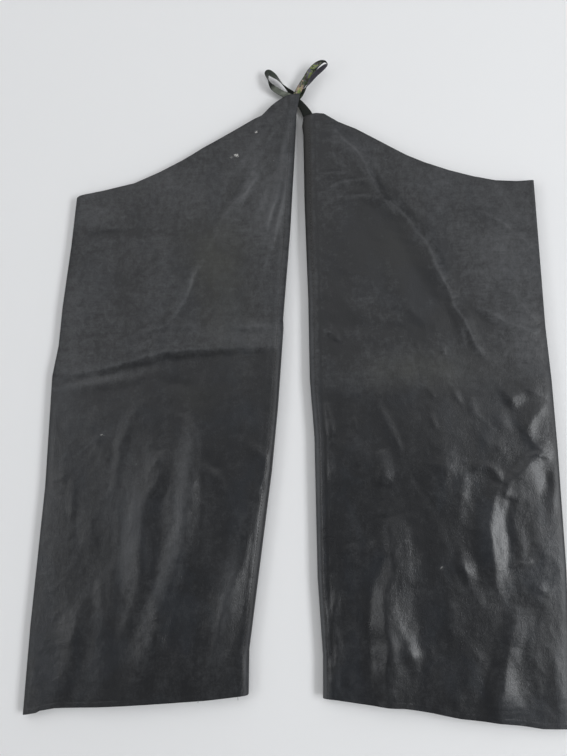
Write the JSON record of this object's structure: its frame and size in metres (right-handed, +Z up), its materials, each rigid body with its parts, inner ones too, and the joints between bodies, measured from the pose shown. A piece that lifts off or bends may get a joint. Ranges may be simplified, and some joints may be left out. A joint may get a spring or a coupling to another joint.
{
  "type": "leather chaps on a wall peg",
  "caption": "Black leather chaps hung splayed from a small wall peg by their belt-loop straps, each leg a flattened tube that is open at the slanting top and at the hem.",
  "frame": {"origin": "middle of the wall peg's back face, on the wall", "axes": "+X to the right of someone facing the wall, +Y into the wall, +Z up; the wall is the plane y = 0 and the garment hangs on its -Y side"},
  "size_m": [0.829, 0.0305, 1.0472],
  "materials": {
    "black_leather": "semi-matte, creased",
    "strap_leather": "matte, with a mottled inner face",
    "peg_wood": "plain, matte"
  },
  "bodies": {
    "root": {"left_leg_front": "black_leather", "left_leg_back": "black_leather", "right_leg_front": "black_leather", "right_leg_back": "black_leather", "left_leg_strap": "strap_leather", "right_leg_strap": "strap_leather", "wall_peg": "peg_wood"}
  },
  "joints": []
}
